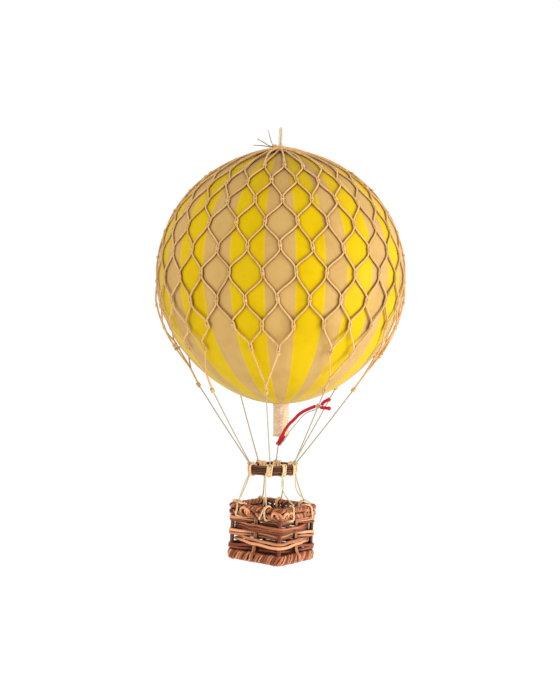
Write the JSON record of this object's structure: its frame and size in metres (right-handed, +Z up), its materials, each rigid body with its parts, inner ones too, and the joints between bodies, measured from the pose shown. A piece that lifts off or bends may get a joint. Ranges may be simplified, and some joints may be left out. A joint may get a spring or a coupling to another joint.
{
  "type": "hanging model hot air balloon",
  "caption": "Decorative hanging model of a balloon: striped hollow ball under a knotted cord net, with a neck tube, rigging lines, a load ring and a square wicker basket.",
  "frame": {"origin": "top of the hanging loop, where the model hangs on its hook", "axes": "+Z up; -Y towards the viewer of the picture, +X to the viewer's right"},
  "size_m": [0.184, 0.1832, 0.3187],
  "materials": {
    "envelope_cloth": "glued cloth stripes, yellow and tan",
    "net_cord": "twisted jute twine",
    "rigging_cord": "thin waxed twine",
    "cream_cord": "soft flat cord",
    "neck_cloth": "stiffened cloth, slightly translucent",
    "dark_cane": "dark stained cane, worn",
    "wicker": "reddish brown willow, varnished",
    "red_cord": "twisted crimson yarn"
  },
  "bodies": {
    "loop": {"hanging_loop": "cream_cord"},
    "balloon": {"crown_binding": "net_cord", "envelope": "envelope_cloth", "net": "net_cord", "neck_tube": "neck_cloth", "rigging_line_front": "rigging_cord", "rigging_line_front_right": "rigging_cord", "rigging_line_right": "rigging_cord", "rigging_line_back_right": "rigging_cord", "rigging_line_back": "rigging_cord", "rigging_line_back_left": "rigging_cord", "rigging_line_left": "rigging_cord", "rigging_line_front_left": "rigging_cord", "ring_binding_front": "net_cord", "ring_binding_front_right": "net_cord", "ring_binding_right": "net_cord", "ring_binding_back_right": "net_cord", "ring_binding_back": "net_cord", "ring_binding_back_left": "net_cord", "ring_binding_left": "net_cord", "ring_binding_front_left": "net_cord", "load_ring": "dark_cane", "valve_cord": "red_cord", "valve_cord_tail_upper": "red_cord", "valve_cord_tail_lower": "red_cord"},
    "basket": {"basket_rim": "wicker", "basket_foot": "wicker", "basket_floor": "wicker", "basket_wall_1": "wicker", "basket_wall_2": "wicker", "basket_wall_3": "wicker", "basket_wall_4": "wicker", "corner_post_1": "wicker", "corner_post_2": "wicker", "corner_post_3": "wicker", "corner_post_4": "wicker", "basket_cord_left_front": "rigging_cord", "basket_cord_front_left": "rigging_cord", "basket_cord_front_right": "rigging_cord", "basket_cord_right_front": "rigging_cord", "basket_cord_right_back": "rigging_cord", "basket_cord_back_right": "rigging_cord", "basket_cord_back_left": "rigging_cord", "basket_cord_left_back": "rigging_cord"}
  },
  "joints": [
    {"name": "balloon_turn", "type": "hinge", "parent": "loop", "child": "balloon", "pos_m": [0, 0, -0.0158], "axis": [0, 0, 1], "continuous": true},
    {"name": "basket_swing", "type": "hinge", "parent": "balloon", "child": "basket", "pos_m": [-0.0062, 0, -0.2512], "axis": [0, 1, 0], "range_deg": [-15, 15], "deforming": ["basket_cord_left_front", "basket_cord_front_left", "basket_cord_front_right", "basket_cord_right_front", "basket_cord_right_back", "basket_cord_back_right", "basket_cord_back_left", "basket_cord_left_back"]}
  ]
}
